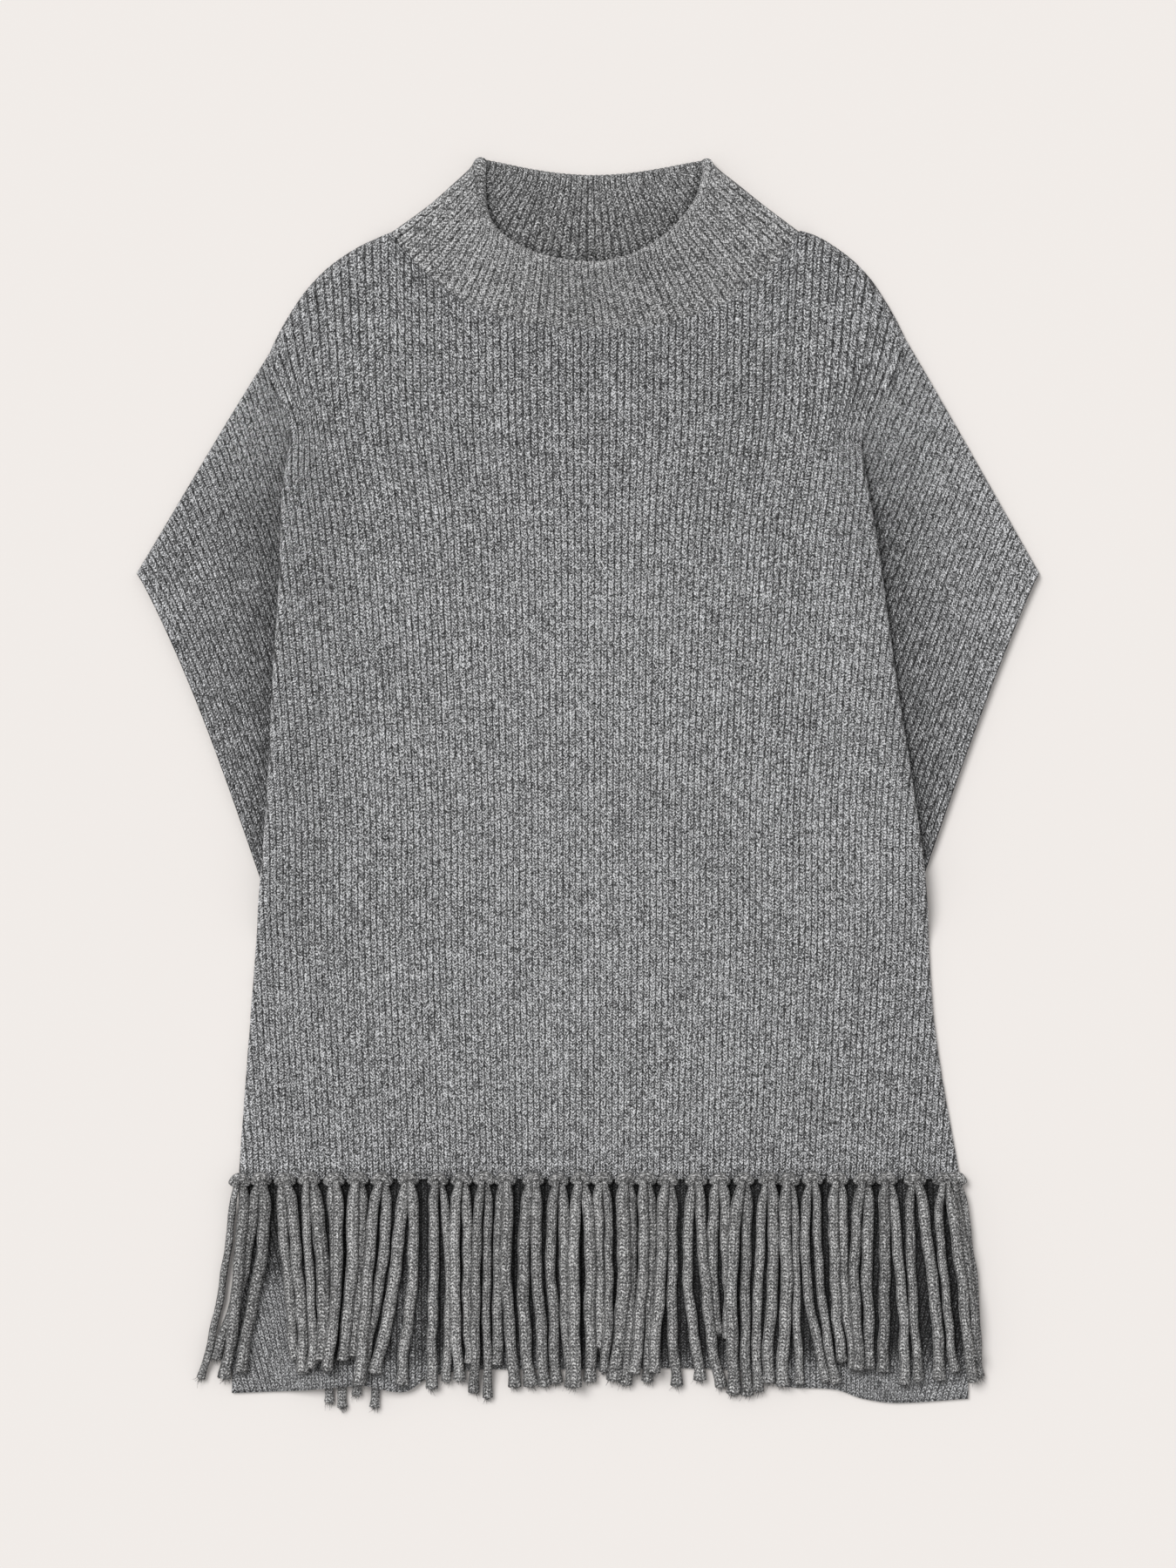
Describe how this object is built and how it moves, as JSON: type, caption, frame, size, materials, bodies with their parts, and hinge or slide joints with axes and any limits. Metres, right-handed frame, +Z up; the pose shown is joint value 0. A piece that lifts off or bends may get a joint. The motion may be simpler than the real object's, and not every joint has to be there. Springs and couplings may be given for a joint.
{
  "type": "knitted poncho sweater",
  "caption": "A ribbed knit poncho sweater laid flat, with a funnel neck, dolman wings that fall under the body's side folds, open armholes and a tasselled hem over a longer back panel.",
  "frame": {"origin": "on the ground under the middle of the whole garment", "axes": "+Z up from the surface that it lies on, +Y from the fringed hem to the collar, +X to the left sleeve's side as worn"},
  "size_m": [0.6426, 0.8866, 0.0301],
  "materials": {
    "rib_knit": "mid-grey marl wool rib knit",
    "rib_knit_inner": "mid-grey marl wool rib knit, inner face",
    "collar_knit": "mid-grey marl wool rib knit",
    "fringe_yarn": "knitted tube fringe in mid-grey marl wool"
  },
  "bodies": {
    "root": {"front": "rib_knit", "back": "rib_knit_inner", "collar": "collar_knit", "front_fringe": "fringe_yarn", "back_fringe": "fringe_yarn"}
  },
  "joints": []
}
